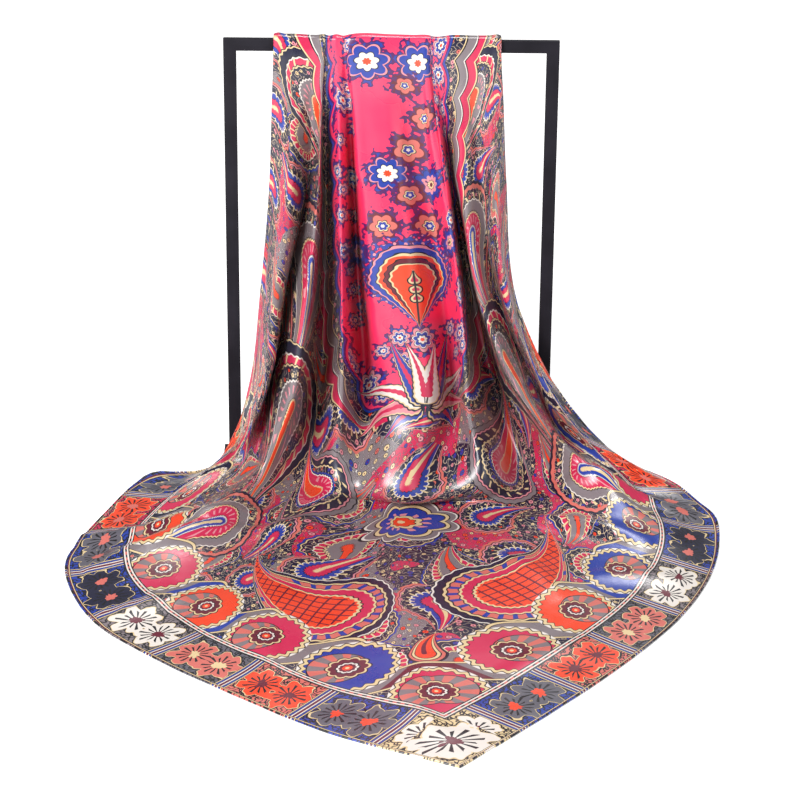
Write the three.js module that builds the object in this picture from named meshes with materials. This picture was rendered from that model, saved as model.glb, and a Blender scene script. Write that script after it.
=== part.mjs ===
// Silk square scarf on a display stand.
// Millimetres, +Z up. The origin is under the middle of the stand, on the floor.
// +X is to the right of someone who faces the scarf, and the front looks along -Y.
// The scarf hangs over the top bar by its diagonal: one corner lies spread out on the
// floor in front, the opposite one hangs as a short flap behind the bar.
import * as THREE from "three";

// Stand, welded from flat bar
const FRAME_WIDTH = 338;
const FRAME_HEIGHT = 476;
const BAR_FACE = 13;
const BAR_DEPTH = 5;
const FOOT_WIDTH = 6;
const FOOT_LENGTH = 50;
const FOOT_HEIGHT = 5;

// Scarf, cut as a square
const SIDE = 900;
const CLOTH = 1.2;
// Where the bar crosses the flat square, measured from the front corner along the diagonal
const BAR_REACH = 1090;
const FLAP_REACH = SIDE * Math.SQRT2 - BAR_REACH;
const SHORTEST_FLAP = 6;
// The flap behind narrows and leans away from the bar by these shares of its drop
const FLAP_NARROWS = 0.0006;
const FLAP_LEANS = 0.1;
// Each stretch stops this far short of the seam, and further where its folds run along it
const SEAM_GAP = 0.25;
const LEAST_SLANT = 0.2;
// Where the wall turns sharply its skins stand off by no more than half of CLOTH over this
const LEAST_SHARE = 0.5;
// Each side fold is turned back behind the front: how far in from its edge, and how deep at
// the bar and below it. From its low point on it leans towards the folds beside it by the shares.
const TURN_INSET = 3.5;
const TURN_AT_BAR = 1.4;
const TURN_BELOW = 3.5;
const SHARE_BEHIND = 0.5;
const SHARE_IN_FRONT = 0.3;
// Places between two stations of a fold, as shares of the way to the next
const SHARE_UNDER_BAR = 0.45;
const DEPTH_UNDER_BAR = 0.2;
const SHARE_UNDER_FOOT = 0.08;
const SHARE_AT_TOUCH = 0.22;
// A fold that buckles at its foot: the height of the tuck, as a share of the foot's, and how
// far in front of the foot the cloth meets the floor
const TUCK_HEIGHT = 0.4;
const TUCK_REACH = 2;

// Mesh density: where the columns of a fold stand, as shares of its width, and rows for each
// step between two stations of a fold
const COLUMN_SHARES = [0, 0.25, 0.75];
const TURN_COLUMN_SHARES = [0];
const FLAP_ROWS = [2, 2];
const WRAP_ROWS = [1, 1, 1, 1, 1, 1];
const FALL_ROWS = [2, 3, 4];
const SPREAD_ROWS = [4, 3, 1, 2, 3, 3, 3];

// The hem as it lies, by its distance along the hem from the front corner:
// negative to the left, positive to the right.
const HEM_COLUMNS = ["hem", "x", "y", "z"];
const HEM_ROWS = [
  [-900, -157, -29, 46],
  [-868, -171, -32, 16],
  [-827, -201, -33, 1],
  [-777, -249, -41, 3],
  [-740, -267, -66, 1],
  [-690, -284, -112, 3],
  [-622, -310, -178, 0],
  [-560, -322, -236, 3],
  [-500, -309, -296, 0],
  [-439, -282, -352, 0],
  [-361, -229, -409, 0],
  [-254, -147, -478, 0],
  [-141, -56, -545, 0],
  [0, 69, -605, 0],
  [139, 161, -502, 0],
  [246, 229, -418, 0],
  [366, 294, -318, 0],
  [438, 322, -251, 0],
  [511, 337, -181, 0],
  [565, 337, -125, 3],
  [606, 321, -88, 1],
  [646, 302, -56, 3],
  [678, 284, -38, 4],
  [722, 247, -38, 20],
  [757, 221, -37, 44],
  [803, 192, -34, 78],
  [870, 157, -28, 132],
  [900, 146, -25, 156],
];

// Folds from left to right. barU is a fold's place along the bar in the flat cloth and hem
// is where it ends. barX and lift place it on the bar, lift being its distance off the steel.
// Then come its places on the way down at the two heights below, and its low, foot and
// floor points. tuck is how far the cloth is set back under the foot where it buckles.
const HIGH_Z = 330;
const MIDDLE_Z = 200;
const FOLD_COLUMNS = [
  "name", "barU", "hem", "barX", "lift", "highX", "highY", "middleX", "middleY",
  "lowX", "lowY", "lowZ", "footX", "footY", "footZ", "floorX", "floorY", "floorZ", "tuck",
];
const FOLD_ROWS = [
  ["leftHem", -183, -900, -93, 2.1, -99, -7, -118, -11, -136, -16, 116, -147, -20, 88, -153, -25, 60, 0],
  ["leftEdge", -148, -888, -118, 3.4, -123, -12, -134, -18, -144, -24, 110, -150, -28, 82, -155.5, -30, 55, 0],
  ["panelL", -136, -846, -108, 4.0, -114, -20, -128, -32, -141, -38, 98, -161, -36, 40, -178, -38, 18, 0],
  ["panelA", -122, -730, -97, 3.8, -104, -22, -120, -37, -134, -46, 96, -170, -44, 16, -228, -84, 6, 0],
  ["valleyAB", -98, -620, -73, 3.0, -83, 12, -106, 22, -127, 8, 90, -160, -62, 8, -246, -150, 3, 0],
  ["ridgeB", -84, -508, -68, 3.6, -73, -33, -87, -60, -106, -74, 88, -142, -96, 24, -222, -212, 14, 0],
  ["valleyBC", -72, -350, -63, 2.2, -66, 14, -68, 27, -72, 14, 90, -96, -70, 4, -150, -214, 1, 0],
  ["ridgeC", -60, -205, -55, 3.6, -51, -34, -49, -58, -50, -74, 90, -62, -108, 18, -104, -196, 5, 0],
  ["valleyCD", -50, -130, -48, 2.2, -39, 12, -33, 18, -26, -12, 88, -32, -98, 6, -66, -240, 0.6, 4],
  ["shoulderD", -40, -60, -42, 3.6, -30, -28, -15, -52, 2, -68, 92, -8, -112, 12, -12, -300, 0.6, 12],
  ["middleD", 0, 0, 2, 4.0, 10, -29, 29, -54, 37, -76, 90, 12, -118, 12, 26, -330, 0.6, 16],
  ["creaseDE", 20, 75, 22, 3.6, 39, -12, 55, -16, 64, -14, 90, 58, -104, 7, 78, -290, 0.6, 8],
  ["ridgeE", 36, 190, 37, 3.6, 55, -28, 74, -56, 84, -80, 86, 102, -106, 20, 146, -232, 4, 4],
  ["valleyEG", 52, 330, 43, 2.2, 61, 13, 84, 26, 108, 14, 94, 150, -60, 6, 206, -190, 2, 0],
  ["ridgeG", 78, 480, 61, 3.8, 75, -30, 99, -56, 146, -74, 104, 206, -78, 36, 262, -150, 12, 0],
  ["valleyGH", 106, 610, 86, 3.5, 94, -12, 114, -16, 150, -24, 108, 190, -38, 40, 262, -74, 6, 0],
  ["panelH", 128, 766, 100, 4.0, 107, -24, 124, -36, 146, -39, 140, 167, -40, 102, 189, -40, 76, 0],
  ["rightEdge", 146, 888, 110, 3.4, 118, -14, 131, -22, 135, -24, 186, 139, -26, 175, 144.5, -28, 160, 0],
  ["rightHem", 183, 900, 80, 2.1, 88, -7, 113, -11, 124, -15, 190, 132, -18, 180, 140, -22, 166, 0],
];

const named = (columns, rows) =>
  rows.map((row) => Object.fromEntries(columns.map((column, k) => [column, row[k]])));
const hemPlaces = named(HEM_COLUMNS, HEM_ROWS);

// A side fold is three lines: behind its edge, on it and in front
const OPEN_COLUMNS = [
  "barU", "hem", "lowX", "lowY", "lowZ", "footX", "footY", "footZ", "floorX", "floorY", "floorZ",
];
const turned = (fold, strip, panel) => {
  const inset = -Math.sign(fold.barX) * TURN_INSET;
  const line = (neighbour, share, depth) => {
    const copy = { ...fold, barX: fold.barX + inset, lift: fold.lift + depth * TURN_AT_BAR };
    for (const height of ["high", "middle"]) {
      copy[`${height}X`] = fold[`${height}X`] + inset;
      copy[`${height}Y`] = fold[`${height}Y`] - depth * TURN_BELOW;
    }
    for (const column of OPEN_COLUMNS) copy[column] += share * (neighbour[column] - fold[column]);
    return copy;
  };
  return [line(strip, SHARE_BEHIND, -1), fold, line(panel, SHARE_IN_FRONT, 1)];
};
const foldLines = () => {
  const rows = named(FOLD_COLUMNS, FOLD_ROWS);
  const [leftHem, leftEdge, ...inner] = rows;
  const rightHem = inner.pop();
  const rightEdge = inner.pop();
  const left = turned(leftEdge, leftHem, inner[0]);
  const right = turned(rightEdge, rightHem, inner.at(-1)).reverse();
  return [leftHem, ...left, ...inner, ...right, rightHem];
};
const folds = foldLines();

// Smooth curve through points, by the distances between them, at a step counted from the first
const smoothPoint = (points, step) => {
  const last = points.length - 1;
  const k = Math.min(Math.floor(step), last - 1);
  const f = step - k;
  const span = (i) => points[i + 1].distanceTo(points[i]) || 1e-6;
  const slope = (i) => {
    const ahead = i < last ? points[i + 1].clone().sub(points[i]).divideScalar(span(i)) : null;
    const behind = i > 0 ? points[i].clone().sub(points[i - 1]).divideScalar(span(i - 1)) : null;
    if (!ahead || !behind) return ahead || behind;
    const whole = span(i) + span(i - 1);
    return ahead.multiplyScalar(span(i - 1) / whole).addScaledVector(behind, span(i) / whole);
  };
  const leave = slope(k).multiplyScalar(span(k));
  const reach = slope(k + 1).multiplyScalar(span(k));
  return points[k]
    .clone()
    .multiplyScalar(1 - f * f * (3 - 2 * f))
    .addScaledVector(points[k + 1], f * f * (3 - 2 * f))
    .addScaledVector(leave, f * (1 - f) * (1 - f))
    .addScaledVector(reach, -f * f * (1 - f));
};
const point = (x, y, z) => new THREE.Vector3(x, y, z);

const hemPoint = (hem) => {
  const side = hemPlaces.filter((place) => (hem < 0 ? place.hem <= 0 : place.hem >= 0));
  const k = Math.max(side.findIndex((place) => place.hem >= hem), 1);
  const step = k - 1 + (hem - side[k - 1].hem) / (side[k].hem - side[k - 1].hem);
  return smoothPoint(side.map((place) => point(place.x, place.y, place.z + CLOTH / 2)), step);
};

// Stations of one fold: the flap behind, the wrap over the bar, the fall and the floor
const stations = (fold) => {
  const list = [];
  const out = BAR_DEPTH / 2 + fold.lift;
  const drop = Math.max(FLAP_REACH - Math.abs(fold.barU), SHORTEST_FLAP);
  FLAP_ROWS.forEach((_, k) => {
    const down = drop * (1 - k / FLAP_ROWS.length);
    list.push(point(fold.barX * (1 - FLAP_NARROWS * down), out + FLAP_LEANS * down, FRAME_HEIGHT - down));
  });
  WRAP_ROWS.concat(0).forEach((_, k) => {
    const turn = (Math.PI * k) / WRAP_ROWS.length;
    const half = WRAP_ROWS.length / 2;
    const y = Math.sign(half - k) * (BAR_DEPTH / 2) + fold.lift * Math.cos(turn);
    list.push(point(fold.barX, y, FRAME_HEIGHT + fold.lift * Math.sin(turn)));
  });
  const bar = list.at(-1);
  const high = point(fold.highX, fold.highY, HIGH_Z);
  const foot = point(fold.footX, fold.footY, fold.footZ);
  const floor = point(fold.floorX, fold.floorY, fold.floorZ + CLOTH / 2);
  const hem = hemPoint(fold.hem);
  const below = bar.clone().lerp(high, SHARE_UNDER_BAR);
  below.setY(bar.y + DEPTH_UNDER_BAR * (high.y - bar.y));
  list.push(below, high, point(fold.middleX, fold.middleY, MIDDLE_Z));
  list.push(point(fold.lowX, fold.lowY, fold.lowZ), foot);
  const under = foot.clone().lerp(floor, SHARE_UNDER_FOOT);
  const touch = foot.clone().lerp(floor, SHARE_AT_TOUCH);
  if (fold.tuck > 0) {
    under.set(foot.x, foot.y + fold.tuck, TUCK_HEIGHT * foot.z);
    touch.set(foot.x, foot.y - TUCK_REACH, (CLOTH + fold.floorZ) / 2);
  }
  list.push(under, touch, floor, floor.clone().lerp(hem, 0.5), hem);
  return list;
};
const lines = folds.map(stations);

// The middle of the cloth, across the folds from the left and along them from the flap
const lastStation = lines[0].length - 1;
const clothPoint = (across, along) => {
  if (along > lastStation - 1e-6) {
    const k = Math.min(Math.floor(across), folds.length - 2);
    const hem = folds[k].hem + (folds[k + 1].hem - folds[k].hem) * (across - k);
    return hemPoint(hem);
  }
  const middle = smoothPoint(lines.map((line) => smoothPoint(line, along)), across);
  return middle.setZ(Math.max(middle.z, CLOTH / 2));
};
// From the middle of the wall to its outer skin, midway between the cells that meet at a place
// of the grid, and longer at a sharp crease so that the wall keeps its thickness there
const toSkin = (grid, row, column) => {
  const place = grid[row][column];
  const sum = point(0, 0, 0);
  let cells = 0;
  for (const [ahead, aside] of [[1, 1], [1, -1], [-1, 1], [-1, -1]]) {
    const below = grid[row + ahead]?.[column];
    const beside = grid[row][column + aside];
    if (!below || !beside) continue;
    const normal = below.clone().sub(place).cross(beside.clone().sub(place)).normalize();
    sum.addScaledVector(normal, ahead * aside);
    cells += 1;
  }
  const share = Math.max(sum.length() / cells, LEAST_SHARE);
  return sum.setLength(CLOTH / 2 / share);
};

// One stretch of the scarf as a wall between two of its stations
const stretch = (name, color, firstStation, rowsPerStation) => {
  const alongs = rowsPerStation.flatMap((rows, k) =>
    Array.from({ length: rows }, (_, row) => firstStation + k + row / rows),
  );
  alongs.push(firstStation + rowsPerStation.length);
  const steps = alongs.length - 1;
  const shares = (k) => (folds[k].name === folds[k + 1].name ? TURN_COLUMN_SHARES : COLUMN_SHARES);
  const acrosses = folds.slice(1).flatMap((_, k) => shares(k).map((share) => k + share));
  acrosses.push(folds.length - 1);
  const columns = acrosses.length - 1;
  const middle = alongs.map((along) => acrosses.map((across) => clothPoint(across, along)));
  const skins = middle.map((row, r) => row.map((_, c) => toSkin(middle, r, c)));
  const trim = (row, inner) => {
    const seam = middle[row].map((place) => place.clone());
    seam.forEach((place, column) => {
      const inward = middle[inner][column].clone().sub(place).normalize();
      const before = seam[Math.max(column - 1, 0)];
      const after = seam[Math.min(column + 1, columns)];
      const slant = after.clone().sub(before).normalize().cross(inward).length();
      middle[row][column].addScaledVector(inward, SEAM_GAP / Math.max(slant, LEAST_SLANT));
    });
  };
  if (firstStation > 0) trim(0, 1);
  if (alongs[steps] < lastStation) trim(steps, steps - 1);
  const positions = [];
  for (const side of [1, -1]) {
    middle.forEach((row, r) =>
      row.forEach((place, c) => {
        const skin = place.clone().addScaledVector(skins[r][c], side);
        positions.push(skin.x, skin.y, Math.max(skin.z, 0));
      }),
    );
  }
  const faces = [];
  const corner = ([row, column], layer) => (layer * (steps + 1) + row) * (columns + 1) + column;
  const quad = (a, b, c, d) => faces.push(a, b, c, a, c, d);
  for (let row = 0; row < steps; row += 1) {
    for (let column = 0; column < columns; column += 1) {
      // Both skins are split along the same diagonal, so that a warped cell keeps its thickness
      const ring = [[row, column], [row + 1, column], [row + 1, column + 1], [row, column + 1]];
      const [a, b, c, d] = ring.map((place) => corner(place, 1));
      quad(...ring.map((place) => corner(place, 0)));
      quad(a, d, c, b);
    }
  }
  const rim = [];
  for (let column = 0; column < columns; column += 1) rim.push([0, column]);
  for (let row = 0; row < steps; row += 1) rim.push([row, columns]);
  for (let column = columns; column > 0; column -= 1) rim.push([steps, column]);
  for (let row = steps; row > 0; row -= 1) rim.push([row, 0]);
  rim.forEach((place, k) => {
    const next = rim[(k + 1) % rim.length];
    quad(corner(place, 0), corner(next, 0), corner(next, 1), corner(place, 1));
  });
  const geometry = new THREE.BufferGeometry();
  geometry.setAttribute("position", new THREE.Float32BufferAttribute(positions, 3));
  geometry.setIndex(faces);
  const mesh = new THREE.Mesh(
    geometry,
    new THREE.MeshStandardMaterial({ color, roughness: 0.35, metalness: 0, side: THREE.DoubleSide }),
  );
  mesh.name = name;
  return mesh;
};

const scarf = () => {
  const group = new THREE.Group();
  const overBar = FLAP_ROWS.concat(WRAP_ROWS);
  group.add(stretch("scarf_over_bar", "#b02a5b", 0, overBar));
  group.add(stretch("scarf_fall", "#d6356f", overBar.length, FALL_ROWS));
  group.add(stretch("scarf_spread", "#8a7c80", overBar.length + FALL_ROWS.length, SPREAD_ROWS));
  return group;
};

const steelBox = (name, size, centre) => {
  const mesh = new THREE.Mesh(
    new THREE.BoxGeometry(...size),
    new THREE.MeshStandardMaterial({ color: "#1c1c20", roughness: 0.5, metalness: 0.2 }),
  );
  mesh.name = name;
  mesh.position.set(...centre);
  return mesh;
};

const stand = () => {
  const group = new THREE.Group();
  const postX = (FRAME_WIDTH - BAR_FACE) / 2;
  const postHeight = FRAME_HEIGHT - 2 * BAR_FACE;
  group.add(steelBox("top_bar", [FRAME_WIDTH, BAR_DEPTH, BAR_FACE], [0, 0, FRAME_HEIGHT - BAR_FACE / 2]));
  group.add(steelBox("base_bar", [FRAME_WIDTH, BAR_DEPTH, BAR_FACE], [0, 0, BAR_FACE / 2]));
  for (const [side, sign] of [["left", -1], ["right", 1]]) {
    group.add(steelBox(`post_${side}`, [BAR_FACE, BAR_DEPTH, postHeight], [sign * postX, 0, FRAME_HEIGHT / 2]));
    const footX = (sign * (FRAME_WIDTH + FOOT_WIDTH)) / 2;
    group.add(steelBox(`foot_${side}`, [FOOT_WIDTH, FOOT_LENGTH, FOOT_HEIGHT], [footX, 0, FOOT_HEIGHT / 2]));
  }
  return group;
};

const model = new THREE.Group();
model.add(stand());
model.add(scarf());
export default model;
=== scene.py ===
"""A printed silk satin square, draped by its diagonal over a flat-bar display stand."""
import math

import bmesh
import bpy
import numpy as np
from bpy.props import FloatProperty, FloatVectorProperty, IntProperty, PointerProperty
from bpy.types import Operator, Panel, PropertyGroup
from mathutils import Matrix, Vector


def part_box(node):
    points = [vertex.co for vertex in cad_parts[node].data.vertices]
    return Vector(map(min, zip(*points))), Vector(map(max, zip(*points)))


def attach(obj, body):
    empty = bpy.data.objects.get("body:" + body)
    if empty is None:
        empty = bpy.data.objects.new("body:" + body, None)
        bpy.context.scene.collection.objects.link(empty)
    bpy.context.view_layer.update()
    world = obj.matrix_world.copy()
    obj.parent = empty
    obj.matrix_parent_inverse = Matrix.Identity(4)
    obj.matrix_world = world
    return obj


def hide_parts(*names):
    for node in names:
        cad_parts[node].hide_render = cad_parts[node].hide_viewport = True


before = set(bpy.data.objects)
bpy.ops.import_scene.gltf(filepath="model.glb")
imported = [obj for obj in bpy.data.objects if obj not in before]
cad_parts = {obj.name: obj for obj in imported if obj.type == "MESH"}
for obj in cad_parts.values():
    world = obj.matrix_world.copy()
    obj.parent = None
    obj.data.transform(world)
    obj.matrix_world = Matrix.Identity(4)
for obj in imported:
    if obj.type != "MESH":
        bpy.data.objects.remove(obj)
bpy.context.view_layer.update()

bl_info = {
    "name": "Silk square on a display stand",
    "version": (1, 0, 0),
    "blender": (4, 5, 0),
    "location": "View3D > Sidebar > Scarf",
    "description": "Drapes, hems and prints a silk square over a welded flat-bar stand",
    "category": "Object",
}

MM = 0.001
BAR_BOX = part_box("top_bar")
FOOT_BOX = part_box("foot_left")
POST_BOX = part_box("post_left")

# The cloth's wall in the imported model, and how the folds are turned at the sides
MODEL_CLOTH = 1.2
SIDE = 900.0
SHORTEST_FLAP = 6
FLAP_NARROWS = 0.0006
FLAP_LEANS = 0.1
TURN_INSET = 3.5
TURN_AT_BAR = 1.4
TURN_BELOW = 3.5
SHARE_BEHIND = 0.5
SHARE_IN_FRONT = 0.3
SHARE_UNDER_BAR = 0.45
DEPTH_UNDER_BAR = 0.2
SHARE_UNDER_FOOT = 0.08
SHARE_AT_TOUCH = 0.22
TUCK_HEIGHT = 0.4
TUCK_REACH = 2
WRAP_STEPS = 6
FLAP_STEPS = 2

# The hem is pressed flat near the bar: the share of its radius lost, and from what height on
PRESSED_HEM = 0.6
PRESSED_FROM = 330
PRESSED_FADE = 60

# The hem as it lies, by its distance along the hem from the front corner, in millimetres
HEM_ROWS = [
    (-900, -157, -29, 46),
    (-868, -171, -32, 16),
    (-827, -201, -33, 1),
    (-777, -249, -41, 3),
    (-740, -267, -66, 1),
    (-690, -284, -112, 3),
    (-622, -310, -178, 0),
    (-560, -322, -236, 3),
    (-500, -309, -296, 0),
    (-439, -282, -352, 0),
    (-361, -229, -409, 0),
    (-254, -147, -478, 0),
    (-141, -56, -545, 0),
    (0, 69, -605, 0),
    (139, 161, -502, 0),
    (246, 229, -418, 0),
    (366, 294, -318, 0),
    (438, 322, -251, 0),
    (511, 337, -181, 0),
    (565, 337, -125, 3),
    (606, 321, -88, 1),
    (646, 302, -56, 3),
    (678, 284, -38, 4),
    (722, 247, -38, 20),
    (757, 221, -37, 44),
    (803, 192, -34, 78),
    (870, 157, -28, 132),
    (900, 146, -25, 156),
]

# Folds from left to right, in millimetres. bar_u is a fold's place along the bar in the flat
# cloth and hem is where it ends. bar_x and lift place it on the bar. Then come its places on
# the way down, its foot, and where it meets the floor. tuck sets the cloth back under the foot.
HIGH_Z = 330
MIDDLE_Z = 200
FOLD_COLUMNS = (
    "bar_u", "hem", "bar_x", "lift", "high_x", "high_y", "middle_x", "middle_y",
    "low_x", "low_y", "low_z", "foot_x", "foot_y", "foot_z", "floor_x", "floor_y", "floor_z", "tuck",
)
FOLD_ROWS = {
    "left_hem": (-183, -900, -93, 2.1, -99, -7, -118, -11, -136, -16, 116, -147, -20, 88, -153, -25, 60, 0),
    "left_edge": (-148, -888, -118, 3.4, -123, -12, -134, -18, -144, -24, 110, -150, -28, 82, -155.5, -30, 55, 0),
    "panel_l": (-136, -846, -108, 4.0, -114, -20, -128, -32, -141, -38, 98, -161, -36, 40, -178, -38, 18, 0),
    "panel_a": (-122, -730, -97, 3.8, -104, -22, -120, -37, -134, -46, 96, -170, -44, 16, -228, -84, 6, 0),
    "valley_ab": (-98, -620, -73, 3.0, -83, 12, -106, 22, -127, 8, 90, -160, -62, 8, -246, -150, 3, 0),
    "ridge_b": (-84, -508, -68, 3.6, -73, -33, -87, -60, -106, -74, 88, -142, -96, 24, -222, -212, 14, 0),
    "valley_bc": (-72, -350, -63, 2.2, -66, 14, -68, 27, -72, 14, 90, -96, -70, 4, -150, -214, 1, 0),
    "ridge_c": (-60, -205, -55, 3.6, -51, -34, -49, -58, -50, -74, 90, -62, -108, 18, -104, -196, 5, 0),
    "valley_cd": (-50, -130, -48, 2.2, -39, 12, -33, 18, -26, -12, 88, -32, -98, 6, -66, -240, 0.6, 4),
    "shoulder_d": (-40, -60, -42, 3.6, -30, -28, -15, -52, 2, -68, 92, -8, -112, 12, -12, -300, 0.6, 12),
    "middle_d": (0, 0, 2, 4.0, 10, -29, 29, -54, 37, -76, 90, 12, -118, 12, 26, -330, 0.6, 16),
    "crease_de": (20, 75, 22, 3.6, 39, -12, 55, -16, 64, -14, 90, 58, -104, 7, 78, -290, 0.6, 8),
    "ridge_e": (36, 190, 37, 3.6, 55, -28, 74, -56, 84, -80, 86, 102, -106, 20, 146, -232, 4, 4),
    "valley_eg": (52, 330, 43, 2.2, 61, 13, 84, 26, 108, 14, 94, 150, -60, 6, 206, -190, 2, 0),
    "ridge_g": (78, 480, 61, 3.8, 75, -30, 99, -56, 146, -74, 104, 206, -78, 36, 262, -150, 12, 0),
    "valley_gh": (106, 610, 86, 3.5, 94, -12, 114, -16, 150, -24, 108, 190, -38, 40, 262, -74, 6, 0),
    "panel_h": (128, 766, 100, 4.0, 107, -24, 124, -36, 146, -39, 140, 167, -40, 102, 189, -40, 76, 0),
    "right_edge": (146, 888, 110, 3.4, 118, -14, 131, -22, 135, -24, 186, 139, -26, 175, 144.5, -28, 160, 0),
    "right_hem": (183, 900, 80, 2.1, 88, -7, 113, -11, 124, -15, 190, 132, -18, 180, 140, -22, 166, 0),
}

# Mesh density: columns between two folds, and rows between two stations of a fold
COLUMNS_PER_FOLD = 10
ROWS_PER_STATION = (9, 9, 3, 3, 3, 3, 3, 3, 12, 16, 24, 22, 20, 6, 8, 22, 24, 24)

# Creases, listed one by one. across and up are in millimetres seen from the front on the fall and
# the flap, and from above on the spread. A ridge stands out by its depth, a trough goes in.
CREASE_COLUMNS = ("where", "across", "up", "to_across", "to_up", "bow", "width", "depth")
CREASE_ROWS = [
    ("fall", -70, 480, -74, 300, -2, 2.4, -2.2),
    ("fall", -63, 480, -67, 300, -2, 2.6, -2.8),
    ("fall", -48, 480, -40, 300, 2, 2.4, -2.8),
    ("fall", -44, 478, -32, 330, 3, 2.8, 1.6),
    ("fall", 40, 480, 60, 300, -3, 2.8, -3.2),
    ("fall", 34, 478, 50, 320, -3, 2.6, 1.6),
    ("fall", -108, 474, -112, 330, 3, 5, 1.6),
    ("fall", -92, 470, -101, 250, -4, 6, 1.5),
    ("fall", -84, 474, -95, 370, 2, 4, 1.2),
    ("fall", -103, 300, -124, 120, -5, 8, 2.2),
    ("fall", -58, 470, -56, 300, 1, 4, -1.2),
    ("fall", -26, 474, -12, 240, -4, 9, -1.8),
    ("fall", -12, 476, 6, 300, 3, 7, 1.4),
    ("fall", 14, 474, 34, 280, -4, 7, -1.6),
    ("fall", 4, 380, 22, 170, 5, 9, 1.8),
    ("fall", 30, 470, 44, 360, 2, 4, 1.2),
    ("fall", 70, 474, 88, 300, -3, 6, 1.8),
    ("fall", 78, 472, 96, 340, 4, 4, 1.2),
    ("fall", 95, 475, 106, 360, -2, 5, 1.5),
    ("fall", 103, 400, 118, 250, 3, 6, 1.3),
    ("fall", -20, 210, 2, 120, 6, 10, -2.4),
    ("fall", 50, 220, 58, 110, -5, 7, -2.4),
    ("fall", -55, 280, -62, 96, 3, 5, -3.2),
    ("fall", -34, 340, -24, 104, 2, 5, -3.0),
    ("fall", 68, 320, 98, 104, -4, 6, -3.0),
    ("fall", 92, 310, 138, 112, 4, 6, 2.6),
    ("fall", -84, 330, -106, 110, -3, 6, 2.6),
    ("spread", -70, -156, -304, -252, -16, 12, 7.5),
    ("spread", 100, -122, 268, -196, 14, 11, 8.5),
    ("spread", 60, -160, 176, -300, 12, 14, 4.5),
    ("spread", -112, -124, -322, -184, 14, 11, 9.0),
    ("spread", 180, -84, 326, -126, 8, 10, 8.0),
    ("spread", -20, -330, 110, -420, 18, 26, 1.2),
    ("spread", -90, -290, -210, -350, -14, 22, 1.3),
    ("spread", 200, -250, 300, -266, 8, 13, 4.5),
    ("spread", -150, -330, -110, -450, 8, 14, 2.2),
    ("spread", -200, -290, -290, -340, 6, 12, 4.5),
    ("spread", 110, -450, 196, -372, 7, 14, 2.2),
    ("spread", 10, -440, 60, -560, -8, 16, 1.8),
    ("flap", -70, 474, -60, 400, 3, 6, 1.6),
    ("flap", -34, 475, -26, 360, -3, 7, -1.6),
    ("flap", 6, 475, 2, 320, 4, 8, 2.0),
    ("flap", 40, 474, 30, 380, -3, 6, -1.5),
    ("flap", 66, 474, 56, 410, 3, 5, 1.4),
]


def named_rows(columns, rows):
    return [dict(zip(columns, row)) for row in rows]


def smooth_curve(knots, steps):
    """A smooth curve through the knots along the first axis, by the distances between them."""
    chords = np.diff(knots, axis=0)
    spans = np.maximum(np.linalg.norm(chords, axis=-1, keepdims=True), 1e-6)
    chords = chords / spans
    slopes = np.empty_like(knots)
    slopes[0], slopes[-1] = chords[0], chords[-1]
    whole = spans[:-1] + spans[1:]
    slopes[1:-1] = (chords[1:] * spans[:-1] + chords[:-1] * spans[1:]) / whole
    k = np.clip(np.floor(steps).astype(int), 0, len(knots) - 2)
    f = (steps - k).reshape((-1,) + (1,) * (knots.ndim - 1))
    rise = f * f * (3 - 2 * f)
    made = knots[k] * (1 - rise) + knots[k + 1] * rise
    made += slopes[k] * spans[k] * f * (1 - f) ** 2
    return made - slopes[k + 1] * spans[k] * f * f * (1 - f)


def hem_points(hems):
    """Where places along the near hems lie, the front corner kept sharp."""
    rows = np.array(HEM_ROWS, float)
    made = np.empty((len(hems), 3))
    for side in (-1, 1):
        chosen = rows[rows[:, 0] * side >= 0]
        picked = (hems * side > 0) | ((hems == 0) & (side > 0))
        steps = np.interp(hems[picked], chosen[:, 0], np.arange(len(chosen)))
        made[picked] = smooth_curve(chosen[:, 1:], steps)
    made[:, 2] += MODEL_CLOTH / 2
    return made


def turned(fold, strip, panel):
    """A side fold as three lines: behind its edge, on it and in front."""
    inset = -math.copysign(TURN_INSET, fold["bar_x"])
    opened = ["bar_u", "hem"] + [f"{place}_{axis}" for place in ("low", "foot", "floor") for axis in "xyz"]

    def line(neighbour, share, depth):
        copy = dict(fold, bar_x=fold["bar_x"] + inset, lift=fold["lift"] + depth * TURN_AT_BAR)
        for height in ("high", "middle"):
            copy[height + "_x"] = fold[height + "_x"] + inset
            copy[height + "_y"] = fold[height + "_y"] - depth * TURN_BELOW
        for column in opened:
            copy[column] += share * (neighbour[column] - fold[column])
        return copy

    return [line(strip, SHARE_BEHIND, -1), fold, line(panel, SHARE_IN_FRONT, 1)]


def fold_lines():
    rows = named_rows(FOLD_COLUMNS, FOLD_ROWS.values())
    left_hem, left_edge, *inner, right_edge, right_hem = rows
    left = turned(left_edge, left_hem, inner[0])
    right = turned(right_edge, right_hem, inner[-1])[::-1]
    return [left_hem, *left, *inner, *right, right_hem]


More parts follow.
